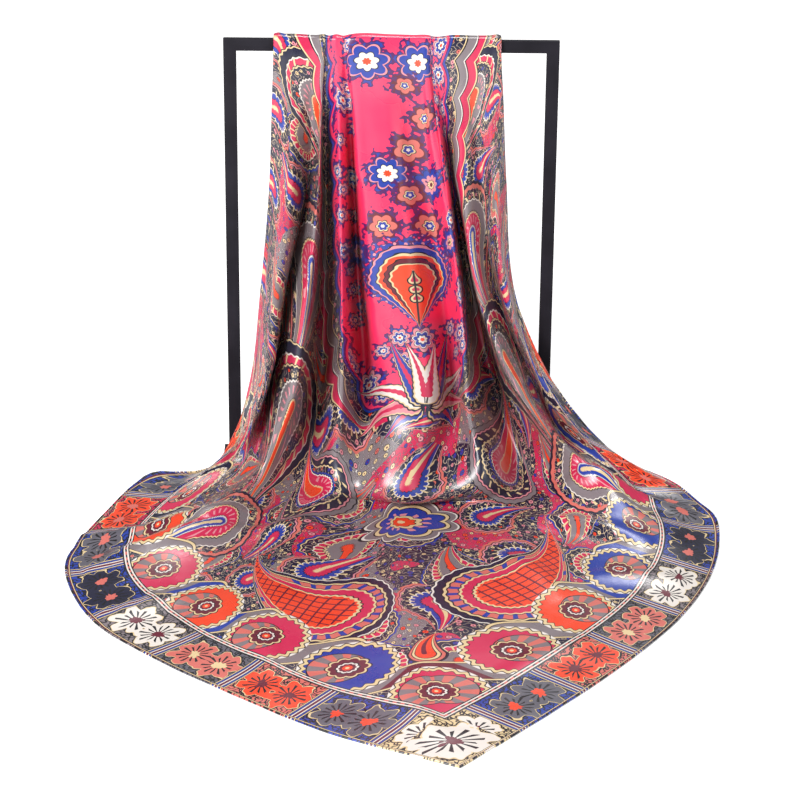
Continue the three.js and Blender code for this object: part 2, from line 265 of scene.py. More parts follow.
def stations(fold, sizes):
    """Places on one fold: the flap behind, the wrap over the bar, the fall and the floor."""
    half_bar = (BAR_BOX[1].y - BAR_BOX[0].y) / 2 / MM
    bar_top = BAR_BOX[1].z / MM
    out = half_bar + fold["lift"]
    flap_reach = sizes.side / MM * math.sqrt(2) - sizes.bar_reach / MM
    drop = max(flap_reach - abs(fold["bar_u"]), SHORTEST_FLAP)
    places = []
    for k in range(FLAP_STEPS):
        down = drop * (1 - k / FLAP_STEPS)
        places.append((fold["bar_x"] * (1 - FLAP_NARROWS * down), out + FLAP_LEANS * down, bar_top - down))
    for k in range(WRAP_STEPS + 1):
        turn = math.pi * k / WRAP_STEPS
        y = np.sign(WRAP_STEPS / 2 - k) * half_bar + fold["lift"] * math.cos(turn)
        places.append((fold["bar_x"], y, bar_top + fold["lift"] * math.sin(turn)))
    bar = np.array(places[-1], float)
    high = np.array((fold["high_x"], fold["high_y"], HIGH_Z), float)
    foot = np.array((fold["foot_x"], fold["foot_y"], fold["foot_z"]), float)
    floor = np.array((fold["floor_x"], fold["floor_y"], fold["floor_z"] + MODEL_CLOTH / 2), float)
    hem = hem_points(np.array([fold["hem"]], float))[0]
    under = foot + (floor - foot) * SHARE_UNDER_FOOT
    touch = foot + (floor - foot) * SHARE_AT_TOUCH
    if fold["tuck"] > 0:
        under = (foot[0], foot[1] + fold["tuck"], TUCK_HEIGHT * foot[2])
        touch = (foot[0], foot[1] - TUCK_REACH, (MODEL_CLOTH + fold["floor_z"]) / 2)
    below = bar + (high - bar) * np.array((SHARE_UNDER_BAR, DEPTH_UNDER_BAR, SHARE_UNDER_BAR))
    places += [
        below,
        high,
        (fold["middle_x"], fold["middle_y"], MIDDLE_Z),
        (fold["low_x"], fold["low_y"], fold["low_z"]),
        foot,
        under,
        touch,
        floor,
        (floor + hem) / 2,
        hem,
    ]
    return np.array(places, float)


FLAP_END = FLAP_STEPS
BAR_TOP = FLAP_STEPS + WRAP_STEPS // 2
BAR_FRONT = FLAP_STEPS + WRAP_STEPS
FOOT = BAR_FRONT + 5
LAST = BAR_FRONT + 10


def drape(sizes):
    """The middle of the cloth as a grid, rows from the flap to the near hem, in millimetres,
    and the flat place of each of its points, as distances along the two near hems."""
    folds = fold_lines()
    lines = np.stack([stations(fold, sizes) for fold in folds], axis=1)
    alongs = np.concatenate([k + np.arange(n) / n for k, n in enumerate(ROWS_PER_STATION)] + [[LAST]])
    acrosses = np.arange((len(folds) - 1) * COLUMNS_PER_FOLD + 1) / COLUMNS_PER_FOLD
    rows = smooth_curve(lines, alongs)
    grid = smooth_curve(rows.transpose(1, 0, 2), acrosses).transpose(1, 0, 2)
    hems = np.interp(acrosses, np.arange(len(folds)), [fold["hem"] for fold in folds])
    late = np.clip(alongs - (LAST - 1), 0, 1)[:, None, None] ** 2
    grid += late * (hem_points(hems) - grid[-1])
    return grid, flat_places(folds, lines, alongs, acrosses, hems, sizes)


def flat_places(folds, lines, alongs, acrosses, hems, sizes):
    """Each fold is a straight line in the flat cloth, from its place on the bar to the hem."""
    spans = np.linalg.norm(np.diff(lines, axis=0), axis=-1)
    reach = sizes.bar_reach / MM
    flap_reach = sizes.side / MM * math.sqrt(2) - reach
    flat = np.empty(lines.shape[:2] + (2,))
    for k, fold in enumerate(folds):
        bar = np.array((reach, fold["bar_u"]))
        hem = np.array((abs(fold["hem"]), fold["hem"])) / math.sqrt(2)
        length = np.linalg.norm(hem - bar)
        from_hem = np.concatenate([np.cumsum(spans[BAR_TOP:, k][::-1])[::-1], [0]])
        on_floor = from_hem[FOOT - BAR_TOP]
        on_floor = min(on_floor, 0.9 * length)
        scale_floor = on_floor / max(from_hem[FOOT - BAR_TOP], 1e-6)
        hanging = (from_hem - from_hem[FOOT - BAR_TOP]) / max(from_hem[0] - from_hem[FOOT - BAR_TOP], 1e-6)
        measured = np.where(hanging > 0, on_floor + hanging * (length - on_floor), from_hem * scale_floor)
        share = (measured / length)[:, None]
        flat[BAR_TOP:, k] = hem + share * (bar - hem)
        drop = max(flap_reach - abs(fold["bar_u"]), SHORTEST_FLAP)
        behind = np.concatenate([[0], np.cumsum(spans[:BAR_TOP, k][::-1])])[::-1]
        behind = behind / behind[0] * drop
        flat[:BAR_TOP, k, 0] = reach + behind[:-1]
        flat[:BAR_TOP, k, 1] = fold["bar_u"]
    rows = smooth_curve(flat, alongs)
    places = smooth_curve(rows.transpose(1, 0, 2), acrosses).transpose(1, 0, 2)
    edge = np.stack([np.abs(hems), hems], axis=-1) / math.sqrt(2)
    late = np.clip(alongs - (LAST - 1), 0, 1)[:, None, None] ** 2
    places += late * (edge - places[-1])
    p, q = places[..., 0], places[..., 1]
    return np.stack([(p - q), (p + q)], axis=-1) / math.sqrt(2)


def facing(grid):
    """The grid's normals, pointing to the front and up."""
    down = np.gradient(grid, axis=0)
    right = np.gradient(grid, axis=1)
    normals = np.cross(down, right)
    return normals / np.maximum(np.linalg.norm(normals, axis=-1, keepdims=True), 1e-9)


def crease(grid, rows, sizes):
    """Moves the cloth in and out along its creases."""
    normals = facing(grid)
    station = np.repeat(np.arange(len(ROWS_PER_STATION)), ROWS_PER_STATION)
    station = np.append(station, LAST)[:, None] * np.ones(grid.shape[1])
    parts = {
        "flap": (station < FLAP_END, (0, 2)),
        "fall": ((station >= BAR_FRONT) & (station < FOOT), (0, 2)),
        "spread": (station >= FOOT - 1, (0, 1)),
    }
    moved = np.zeros(grid.shape[:2])
    columns = np.arange(grid.shape[1])
    from_side = np.minimum(columns, columns[::-1]) / COLUMNS_PER_FOLD
    open_cloth = np.clip(from_side - 2, 0, 1)
    for row in named_rows(CREASE_COLUMNS, rows):
        inside, plane = parts[row["where"]]
        seen = grid[..., plane]
        start = np.array((row["across"], row["up"]), float)
        line = np.array((row["to_across"], row["to_up"])) - start
        length = np.linalg.norm(line)
        line = line / length
        along = (seen - start) @ line / length
        side = (seen - start) @ np.array((-line[1], line[0]))
        side = side - row["bow"] * 4 * along * (1 - along)
        fade = np.clip(along, 0, 1) * np.clip(1 - along, 0, 1) * 4
        shape = np.exp(-((side / row["width"]) ** 2)) * np.sqrt(fade)
        moved += np.where(inside, shape * row["depth"] * sizes.crease_depth, 0)
    return grid + normals * (moved * open_cloth)[..., None]


def settle(grid, thickness):
    """Lets the thin cloth down onto the floor."""
    low = np.clip(1 - grid[..., 2] / 20, 0, 1)
    grid[..., 2] -= low * (MODEL_CLOTH - thickness) / 2
    grid[..., 2] = np.maximum(grid[..., 2], thickness / 2 + 0.02)
    return grid


def add_mesh(name, points, faces, flat=None):
    mesh = bpy.data.meshes.new(name)
    mesh.from_pydata([tuple(point) for point in points], [], faces)
    mesh.polygons.foreach_set("use_smooth", [True] * len(mesh.polygons))
    if flat is not None:
        layer = mesh.uv_layers.new(name="flat")
        corners = np.empty(len(mesh.loops), int)
        mesh.loops.foreach_get("vertex_index", corners)
        layer.data.foreach_set("uv", np.asarray(flat)[corners].ravel())
    mesh.update()
    piece = bpy.data.objects.new(name, mesh)
    bpy.context.scene.collection.objects.link(piece)
    return piece


def shell_faces(rows, columns):
    """Quads of a closed shell: its upper skin, its lower skin and its rim."""
    index = np.arange(rows * columns).reshape(rows, columns)
    upper = np.stack([index[:-1, :-1], index[1:, :-1], index[1:, 1:], index[:-1, 1:]], axis=-1)
    lower = upper[..., ::-1] + rows * columns
    ring = boundary(rows, columns)
    after = np.roll(ring, -1)
    rim = np.stack([ring, ring + rows * columns, after + rows * columns, after], axis=-1)
    return np.concatenate([upper.reshape(-1, 4), lower.reshape(-1, 4), rim]).tolist()


def boundary(rows, columns):
    """Indices of the grid's edge points, in a loop: down the left side, along, up and back."""
    index = np.arange(rows * columns).reshape(rows, columns)
    return np.concatenate([index[:-1, 0], index[-1, :-1], index[:0:-1, -1], index[0, :0:-1]])


class ScarfSizes(PropertyGroup):
    """Sizes of the silk square and of its drape"""

    side: FloatProperty(name="Side", description="Side of the cut square", default=0.9, unit="LENGTH")
    bar_reach: FloatProperty(
        name="Reach to the bar",
        description="From the front corner to the bar, along the flat diagonal",
        default=1.09,
        unit="LENGTH",
    )
    thickness: FloatProperty(
        name="Thickness", description="Thickness of the satin", default=0.0005, unit="LENGTH"
    )
    hem_width: FloatProperty(
        name="Hem width", description="Width of the rolled hem", default=0.0021, unit="LENGTH"
    )
    hem_pucker: FloatProperty(
        name="Hem pucker", description="Length between two stitches of the rolled hem", default=0.0065,
        unit="LENGTH",
    )
    crease_depth: FloatProperty(
        name="Crease depth", description="Depth of the small creases, as a share", default=1.0, subtype="FACTOR"
    )


class ScarfColours(PropertyGroup):
    """Inks of the print"""

    pink: FloatVectorProperty(
        name="Pink", description="The flowered field", subtype="COLOR", size=3, default=(0.8714, 0.0296, 0.1144)
    )
    blush: FloatVectorProperty(
        name="Blush", description="Leaves and petals", subtype="COLOR", size=3, default=(0.6939, 0.2542, 0.2961)
    )
    magenta: FloatVectorProperty(
        name="Magenta", description="Discs and paisleys", subtype="COLOR", size=3, default=(0.5776, 0.0176, 0.0802)
    )
    wine: FloatVectorProperty(
        name="Wine", description="Flower hearts and thin stripes", subtype="COLOR", size=3, default=(0.1274, 0.0075, 0.0232)
    )
    orange: FloatVectorProperty(
        name="Orange", description="Discs, hearts and the plaid paisleys", subtype="COLOR", size=3, default=(0.8228, 0.0561, 0.013)
    )
    salmon: FloatVectorProperty(
        name="Salmon", description="Border blocks and bands", subtype="COLOR", size=3, default=(0.624, 0.1441, 0.117)
    )
    royal: FloatVectorProperty(
        name="Royal blue", description="Discs, border blocks and petals", subtype="COLOR", size=3, default=(0.0152, 0.0423, 0.314)
    )
    navy: FloatVectorProperty(
        name="Navy", description="The dark ground", subtype="COLOR", size=3, default=(0.011, 0.011, 0.0356)
    )
    taupe: FloatVectorProperty(
        name="Taupe", description="The pale ground and plain paisleys", subtype="COLOR", size=3, default=(0.2051, 0.1683, 0.1812)
    )
    grey: FloatVectorProperty(
        name="Grey", description="Border blocks and their flowers", subtype="COLOR", size=3, default=(0.1095, 0.1022, 0.1274)
    )
    cream: FloatVectorProperty(
        name="Cream", description="Outlines and fine curls", subtype="COLOR", size=3, default=(0.7157, 0.5457, 0.2961)
    )
    white: FloatVectorProperty(
        name="White", description="Outlines and ruffled flowers", subtype="COLOR", size=3, default=(0.7605, 0.7011, 0.6445)
    )
    black: FloatVectorProperty(
        name="Black", description="Contour lines", subtype="COLOR", size=3, default=(0.0052, 0.0044, 0.0075)
    )
    purple: FloatVectorProperty(
        name="Purple", description="The ragged shade round the bouquets", subtype="COLOR", size=3, default=(0.0802, 0.011, 0.107)
    )


class StandSizes(PropertyGroup):
    """Sizes of the welded stand"""

    edge_radius: FloatProperty(
        name="Edge radius", description="Rounding of the bar's edges", default=0.0006, unit="LENGTH"
    )
    weld_width: FloatProperty(
        name="Weld width", description="Width of the ground weld at each foot", default=0.0016, unit="LENGTH"
    )
    paint_colour: FloatVectorProperty(
        name="Paint", description="Powder coat", subtype="COLOR", size=3, default=(0.009, 0.008, 0.012)
    )


class StageSettings(PropertyGroup):
    """Floor, lights and camera"""

    floor_colour: FloatVectorProperty(
        name="Floor", description="Pale floor", subtype="COLOR", size=3, default=(0.9, 0.9, 0.9)
    )
    floor_glow: FloatProperty(
        name="Floor glow", description="Light that the translucent floor gives from below", default=0.4
    )
    key_power: FloatProperty(name="Key light", description="Power of the key light", default=118, unit="POWER")
    fill_power: FloatProperty(name="Fill light", description="Power of the fill light", default=16, unit="POWER")


class Wire:
    """A number on the print's node tree. Arithmetic on it adds Math nodes."""

    def __init__(self, tree, socket):
        self.tree = tree
        self.socket = socket

    def math(self, operation, *others, swap=False):
        node = self.tree.nodes.new("ShaderNodeMath")
        node.operation = operation
        values = [*others, self] if swap else [self, *others]
        for socket, value in zip(node.inputs, values):
            feed(self.tree, socket, value)
        return Wire(self.tree, node.outputs[0])

    def __add__(self, other):
        return self.math("ADD", other)

    def __radd__(self, other):
        return self.math("ADD", other)

    def __sub__(self, other):
        return self.math("SUBTRACT", other)

    def __rsub__(self, other):
        return self.math("SUBTRACT", other, swap=True)

    def __mul__(self, other):
        return self.math("MULTIPLY", other)

    def __rmul__(self, other):
        return self.math("MULTIPLY", other)

    def __truediv__(self, other):
        return self.math("DIVIDE", other)

    def __lt__(self, other):
        return self.math("LESS_THAN", other)

    def __gt__(self, other):
        return self.math("GREATER_THAN", other)

    def __abs__(self):
        return self.math("ABSOLUTE")

    def low(self, other):
        return self.math("MINIMUM", other)

    def high(self, other):
        return self.math("MAXIMUM", other)

    def wrapped(self, pitch):
        """The distance to the middle of the repeat that this place is in."""
        return self.math("WRAP", pitch / 2, -pitch / 2)

    def sine(self):
        return self.math("SINE")


def feed(tree, socket, value):
    if isinstance(value, Wire):
        tree.links.new(value.socket, socket)
    elif isinstance(value, str):
        socket.default_value = (*ink(value), 1)
    else:
        socket.default_value = value


def ink(name):
    """A colour of the print, by its name among the scarf's colours."""
    return tuple(getattr(bpy.context.scene.scarf_colours, name))


PINK = "pink"
BLUSH = "blush"
MAGENTA = "magenta"
WINE = "wine"
ORANGE = "orange"
SALMON = "salmon"
ROYAL = "royal"
NAVY = "navy"
TAUPE = "taupe"
GREY = "grey"
CREAM = "cream"
WHITE = "white"
BLACK = "black"
PURPLE = "purple"


def length_of(x, y):
    return (x * x + y * y).math("SQRT")


def ramp(value, stops, smooth=False):
    """Colours in steps along a number that runs from the first stop's place to the last one's."""
    tree = value.tree
    first, last = stops[0][0], stops[-1][0]
    scaled = tree.nodes.new("ShaderNodeMapRange")
    feed(tree, scaled.inputs["Value"], value)
    scaled.inputs["From Min"].default_value = first
    scaled.inputs["From Max"].default_value = last
    node = tree.nodes.new("ShaderNodeValToRGB")
    tree.links.new(scaled.outputs["Result"], node.inputs["Fac"])
    node.color_ramp.interpolation = "LINEAR" if smooth else "CONSTANT"
    elements = node.color_ramp.elements
    elements.remove(elements[1])
    for k, (place, colour) in enumerate(stops):
        spot = (place - first) / (last - first)
        element = elements[0] if k == 0 else elements.new(spot)
        element.position = spot
        element.color = (*ink(colour), 1)
    return Wire(tree, node.outputs["Color"])


def profile(value, reach, height, points):
    """A number drawn as a smooth curve over another: points go from 0 to reach, 0 to height."""
    tree = value.tree
    node = tree.nodes.new("ShaderNodeFloatCurve")
    feed(tree, node.inputs["Value"], value / reach)
    curve = node.mapping.curves[0]
    while len(curve.points) < len(points):
        curve.points.new(0.5, 0.5)
    for spot, (x, y) in zip(curve.points, points):
        spot.location = (x / reach, y / height)
    node.mapping.update()
    return Wire(tree, node.outputs["Value"]) * height


def over(under, upper, mask):
    """Prints one colour over another where the mask is 1."""
    source = next(value for value in (mask, under, upper) if isinstance(value, Wire))
    node = source.tree.nodes.new("ShaderNodeMix")
    node.data_type = "RGBA"
    feed(source.tree, node.inputs[0], mask)
    feed(source.tree, node.inputs[6], under)
    feed(source.tree, node.inputs[7], upper)
    return Wire(source.tree, node.outputs[2])


def joined(tree, x, y):
    node = tree.nodes.new("ShaderNodeCombineXYZ")
    feed(tree, node.inputs[0], x)
    feed(tree, node.inputs[1], y)
    return Wire(tree, node.outputs[0])


def scattered(place, size, evenness):
    """Scattered cells: the distance to a cell's middle, the way to it, and its own numbers."""
    tree = place.tree
    node = tree.nodes.new("ShaderNodeTexVoronoi")
    node.voronoi_dimensions = "2D"
    node.inputs["Scale"].default_value = 1 / size
    node.inputs["Randomness"].default_value = 1 - evenness
    tree.links.new(place.socket, node.inputs["Vector"])
    from_middle = tree.nodes.new("ShaderNodeVectorMath")
    from_middle.operation = "SUBTRACT"
    tree.links.new(place.socket, from_middle.inputs[0])
    tree.links.new(node.outputs["Position"], from_middle.inputs[1])
    apart = tree.nodes.new("ShaderNodeSeparateXYZ")
    tree.links.new(from_middle.outputs[0], apart.inputs[0])
    chance = tree.nodes.new("ShaderNodeSeparateColor")
    tree.links.new(node.outputs["Color"], chance.inputs[0])
    x, y = (Wire(tree, apart.outputs[k]) for k in (0, 1))
    luck, other_luck = (Wire(tree, chance.outputs[k]) for k in (0, 1))
    return Wire(tree, node.outputs["Distance"]) * size, x, y, luck, other_luck


def squiggle(place, size, seed=0.0):
    tree = place.tree
    node = tree.nodes.new("ShaderNodeTexNoise")
    node.noise_dimensions = "3D" if seed else "2D"
    node.inputs["Scale"].default_value = 1 / size
    node.inputs["Detail"].default_value = 0
    tree.links.new(place.socket, node.inputs["Vector"])
    return Wire(tree, node.outputs["Fac"])


def teardrop(x, y, radius, tip, bend):
    """A bent drop, 1 on its outline: a round bulb at the middle and a tip that leans over."""
    up = y.high(0.0)
    lean = x - up * up * (bend / tip / tip)
    narrow = (1.0 - up / (tip * 1.08)).high(0.06)
    across = lean / (narrow * radius)
    along = y.low(0.0) / radius
    return length_of(across, along) + (up / tip - 1.0).high(0.0) * 9.0


def turned_by(x, y, angle):
    sine = angle.sine()
    cosine = angle.math("COSINE")
    return x * cosine - y * sine, x * sine + y * cosine


def petals(x, y, count, depth):
    """The distance from a flower's middle, waved round it so that a ring of it has petals."""
    angle = x.math("ARCTAN2", y)
    wave = (angle * (count / 2)).sine()
    return length_of(x, y) / (abs(wave) * depth + (1 - depth / 2)), angle


def print_colour(tree):
    """The whole print: scattered and large paisleys, the flowered field, the rosettes and the border."""
    coordinate = tree.nodes.new("ShaderNodeUVMap")
    coordinate.uv_map = "flat"
    scaled = tree.nodes.new("ShaderNodeVectorMath")
    scaled.operation = "SCALE"
    scaled.inputs["Scale"].default_value = SIDE
    tree.links.new(coordinate.outputs["UV"], scaled.inputs[0])
    apart = tree.nodes.new("ShaderNodeSeparateXYZ")
    tree.links.new(scaled.outputs[0], apart.inputs[0])
    a, b = (Wire(tree, apart.outputs[k]) for k in (0, 1))
    p = (a + b) * math.sqrt(0.5)
    q = (b - a) * math.sqrt(0.5)
    n = abs(q)
    edge = (p - n) * math.sqrt(0.5)
    along = (p + n) * math.sqrt(0.5)
    far_edge = (SIDE * math.sqrt(2) - p - n) * math.sqrt(0.5)
    place = joined(tree, q, p)
    fine = fine_flowers(place)
    made = ground(place, fine)
    made = large_paisleys(made, n, p, fine)
    made = flowered_field(made, place, n, q, p, fine)
    made = centre_motifs(made, place, n, q, p)
    made = scroll_band(made, edge, along, q, fine)
    return border(made, place, edge, along, far_edge, p, q, fine)


def fine_flowers(place):
    """Small flowers among fine curling lines, in three colourings of the ground."""
    reach, x, y, luck, other = scattered(place, 11.0, 0.3)
    leaf = ramp(luck, [(0.0, BLUSH), (0.25, CREAM), (0.45, SALMON), (0.6, ROYAL), (0.78, ORANGE), (0.9, CREAM), (1.0, CREAM)])
    curls = abs(squiggle(place, 5.5) - 0.5)
    bloom = reach * (1.0 + other * 0.7)
    flowers = {}
    for name, paper, line, light in (
        ("dark", NAVY, TAUPE, CREAM), ("pale", TAUPE, NAVY, WHITE), ("hot", MAGENTA, NAVY, BLUSH)
    ):
        made = over(paper, line, curls < 0.05)
        made = over(made, light, curls < 0.014)
        made = over(made, BLACK, bloom < 3.6)
        made = over(made, leaf, bloom < 2.9)
        flowers[name] = over(made, WINE, bloom < 1.0)
    return flowers


def ground(place, fine):
    """Scattered nested paisleys of uneven size on navy, taupe and magenta."""
    reach, x, y, luck, other = scattered(place, 88.0, 0.45)
    x, y = turned_by(x, y, luck * (2 * math.pi))
    drop = teardrop(x, y, 24.0, 54.0, 32.0)
    angle = x.math("ARCTAN2", y)
    teeth = (angle * 19.0).sine()
    rim = drop + teeth * 0.035
    first = ramp(
        rim,
        [(0.0, ORANGE), (0.16, BLACK), (0.2, TAUPE), (0.62, CREAM), (0.68, BLACK), (0.72, MAGENTA), (0.98, WHITE),
         (1.04, BLACK), (1.08, NAVY), (1.42, CREAM), (1.47, BLACK), (1.5, ROYAL), (1.9, ROYAL)],
    )
    second = ramp(
        rim,
        [(0.0, CREAM), (0.12, MAGENTA), (0.46, BLACK), (0.5, ROYAL), (0.8, WHITE), (0.86, BLACK), (0.9, NAVY),
         (1.36, BLUSH), (1.43, BLACK), (1.47, SALMON), (1.9, SALMON)],
    )
    nested = over(first, second, other > 0.5)
    nested = over(nested, fine["dark"], (rim > 1.08) * (rim < 1.36))
    paper = over(fine["dark"], fine["pale"], squiggle(place, 110.0) > 0.58)
    paper = over(paper, fine["hot"], squiggle(place, 80.0, 3.7) > 0.56)
    nested = over(nested, CREAM, (teeth > 0.72) * (rim > 0.72) * (rim < 1.08))
    return over(paper, nested, rim < 1.6)


# Large paisleys, mirrored across the diagonal: up along it and aside from it to the middle of the
# bulb, its radius, the tip's length and lean, its turn in degrees, and its look
PAISLEY_COLUMNS = ("up", "aside", "radius", "tip", "bend", "turn", "look")
PAISLEYS = {
    "shoulder": (1020, 132, 34, 112, 52, 172, 0),
    "waist": (846, 172, 40, 126, -62, 176, 1),
    "hip": (690, 226, 44, 128, 66, 150, 0),
    "knee": (560, 128, 34, 92, -40, 44, 2),
    "wing": (515, 262, 40, 112, 60, 110, 1),
    "plaid": (318, 84, 40, 128, -64, 58, 3),
}
SMOOTH_LOOKS = [
    [(0.0, ORANGE), (0.17, CREAM), (0.22, BLACK), (0.25, TAUPE), (0.68, WHITE), (0.73, BLACK), (0.76, NAVY), (1.05, CREAM),
     (1.09, BLACK), (1.12, MAGENTA), (1.3, WHITE), (1.34, BLACK), (1.37, NAVY), (1.6, CREAM), (1.64, BLACK), (1.7, BLACK)],
    [(0.0, CREAM), (0.1, ROYAL), (0.24, WHITE), (0.28, BLACK), (0.31, MAGENTA), (0.66, CREAM), (0.71, BLACK), (0.74, TAUPE),
     (1.06, WHITE), (1.1, BLACK), (1.13, NAVY), (1.42, SALMON), (1.56, BLACK), (1.59, NAVY), (1.7, BLACK)],
    [(0.0, ORANGE), (0.2, CREAM), (0.25, MAGENTA), (0.62, WHITE), (0.67, BLACK), (0.7, ROYAL), (0.98, CREAM), (1.03, BLACK),
     (1.06, NAVY), (1.36, BLUSH), (1.42, BLACK), (1.45, TAUPE), (1.62, BLACK), (1.7, BLACK)],
    [(0.0, ORANGE), (0.74, CREAM), (0.8, BLACK), (0.83, MAGENTA), (1.04, CREAM), (1.09, BLACK), (1.12, SALMON), (1.32, BLACK),
     (1.35, CREAM), (1.41, BLACK), (1.44, NAVY), (1.6, WHITE), (1.64, BLACK), (1.7, BLACK)],
]


def large_paisleys(under, n, p, fine):
    """Large paisleys with smooth taupe and magenta bands, and a row of leaves inside each."""
    made = under
    for row in named_rows(PAISLEY_COLUMNS, PAISLEYS.values()):
        x, y = n - row["aside"], p - row["up"]
        turn = math.radians(row["turn"])
        sine, cosine = math.sin(turn), math.cos(turn)
        x, y = x * cosine - y * sine, x * sine + y * cosine
        angle = x.math("ARCTAN2", y)
        drop = teardrop(x, y, row["radius"], row["tip"], row["bend"]) + (angle * 30.0).sine() * 0.018
        look = ramp(drop, SMOOTH_LOOKS[row["look"]])
        if row["look"] == 3:
            threads = ((x * 0.7).sine() > 0.86).high((y * 0.55).sine() > 0.86)
            look = over(look, WINE, threads * (drop < 0.7))
            leaves = (angle * 24.0).sine()
            look = over(look, ROYAL, (leaves > 0.45) * (drop > 1.12) * (drop < 1.32))
        else:
            leaves = (angle * 16.0 + drop * 9.0).sine()
            band = (drop > 1.13) * (drop < 1.42) if row["look"] == 1 else (drop > 0.76) * (drop < 0.98)
            look = over(look, fine["dark"], band)
            look = over(look, BLUSH, (leaves > 0.55) * (drop > 0.4) * (drop < 0.58))
            look = over(look, CREAM, (leaves < -0.8) * (drop > 1.12) * (drop < 1.3))
        made = over(made, look, drop < 1.66)
    return made


FIELD_FOOT = 632

# Flowers on the field: across the diagonal, up along it, the radius, the petals, the look, and
# whether the flower stands on both sides of the diagonal
BLOOM_COLUMNS = ("across", "up", "radius", "petals", "look", "paired")
BLOOMS = {
    "bar_pair": (25, 1056, 19, 7, 0, True),
    "bar_bud": (9, 1028, 9, 5, 1, False),
    "sprig": (27, 990, 12, 6, 1, False),
    "big": (-12, 924, 17, 8, 0, False),
    "star": (9, 952, 13, 5, 1, False),
    "right": (29, 912, 15, 9, 2, False),
    "low": (7, 899, 11, 5, 1, False),
    "ogee_pair": (22, 862, 13, 6, 1, True),
    "side_pair": (56, 834, 12, 7, 2, True),
}
BLOOM_LOOKS = [
    [(0.0, ORANGE), (0.2, WHITE), (0.52, BLACK), (0.57, ROYAL), (0.9, BLUSH), (1.0, BLACK), (1.06, BLACK)],
    [(0.0, WHITE), (0.14, ROYAL), (0.34, CREAM), (0.44, BLACK), (0.5, SALMON), (0.92, WINE), (1.06, WINE)],
    [(0.0, WINE), (0.16, CREAM), (0.3, BLACK), (0.35, BLUSH), (0.66, ROYAL), (1.0, BLACK), (1.06, BLACK)],
]


def flowered_field(under, place, n, q, p, fine):
    """The pink field with its ragged dark edge, small sprays along the edge and bouquets in the middle."""
    half = profile(
        p,
        1273.0,
        200.0,
        [(0, 0), (FIELD_FOOT, 0), (644, 36), (672, 62), (730, 82), (800, 90), (900, 84), (1090, 66), (1200, 50), (1273, 36)],
    )
    lobes = abs((p * (math.pi / 46)).sine()) * 9.0
    out = n - half - lobes
    lace = squiggle(place, 4.2) * 9.0
    bands = ramp(
        out,
        [(0.0, PURPLE), (2.0, ROYAL), (5.0, BLACK), (6.0, NAVY), (20.0, CREAM), (21.5, BLACK), (23.0, TAUPE), (33.0, WHITE),
         (34.5, BLACK), (36.0, MAGENTA), (47.0, CREAM), (49.0, BLACK), (50.5, BLACK)],
    )
    bands = over(bands, fine["dark"], (out > 6.0) * (out < 20.0))
    inside = p > FIELD_FOOT
    made = over(under, bands, inside * (out < 50.5))
    made = over(made, PINK, inside * (out < 0.0))
    made = over(made, PURPLE, inside * (abs(out + 6.0) < lace - 3.4))
    # Sprays of small flowers along the edge
    reach, x, y, luck, other = scattered(place, 31.0, 0.2)
    bloom, angle = petals(x, y, 7, 0.4)
    bloom = bloom * (0.72 + luck * 0.9)
    spray = ramp(
        bloom,
        [(0.0, ORANGE), (1.4, WHITE), (3.2, BLACK), (3.7, ROYAL), (6.0, WHITE), (6.8, BLACK), (7.3, BLUSH), (9.6, BLACK),
         (10.2, BLACK)],
    )
    edging = inside * (out < -3.0) * (out + other * 16.0 > -26.0).high(p < 746.0)
    made = over(made, PURPLE, edging * (bloom + lace * 1.6 < 21.5))
    made = over(made, ROYAL, edging * (bloom + lace * 1.6 < 17.5))
    made = over(made, spray, edging * (bloom < 10.2))
    for row in named_rows(BLOOM_COLUMNS, BLOOMS.values()):
        x = (n if row["paired"] else q) - row["across"]
        y = p - row["up"]
        bloom, angle = petals(x, y, row["petals"], 0.34)
        ragged = bloom + lace * 1.5
        ring = bloom / row["radius"]
        made = over(made, PURPLE, ragged < row["radius"] + 13)
        made = over(made, ROYAL if row["look"] != 1 else WINE, ragged < row["radius"] + 8)
        made = over(made, ramp(ring, BLOOM_LOOKS[row["look"]]), ring < 1.04)
    return made


LEAF_ROOT = 642.0
LEAVES = [(1.9, 34, ROYAL, 10), (1.42, 52, BLUSH, 16), (0.95, 62, WHITE, 12), (0.5, 70, ROYAL, -12), (0.12, 60, WHITE, 6)]


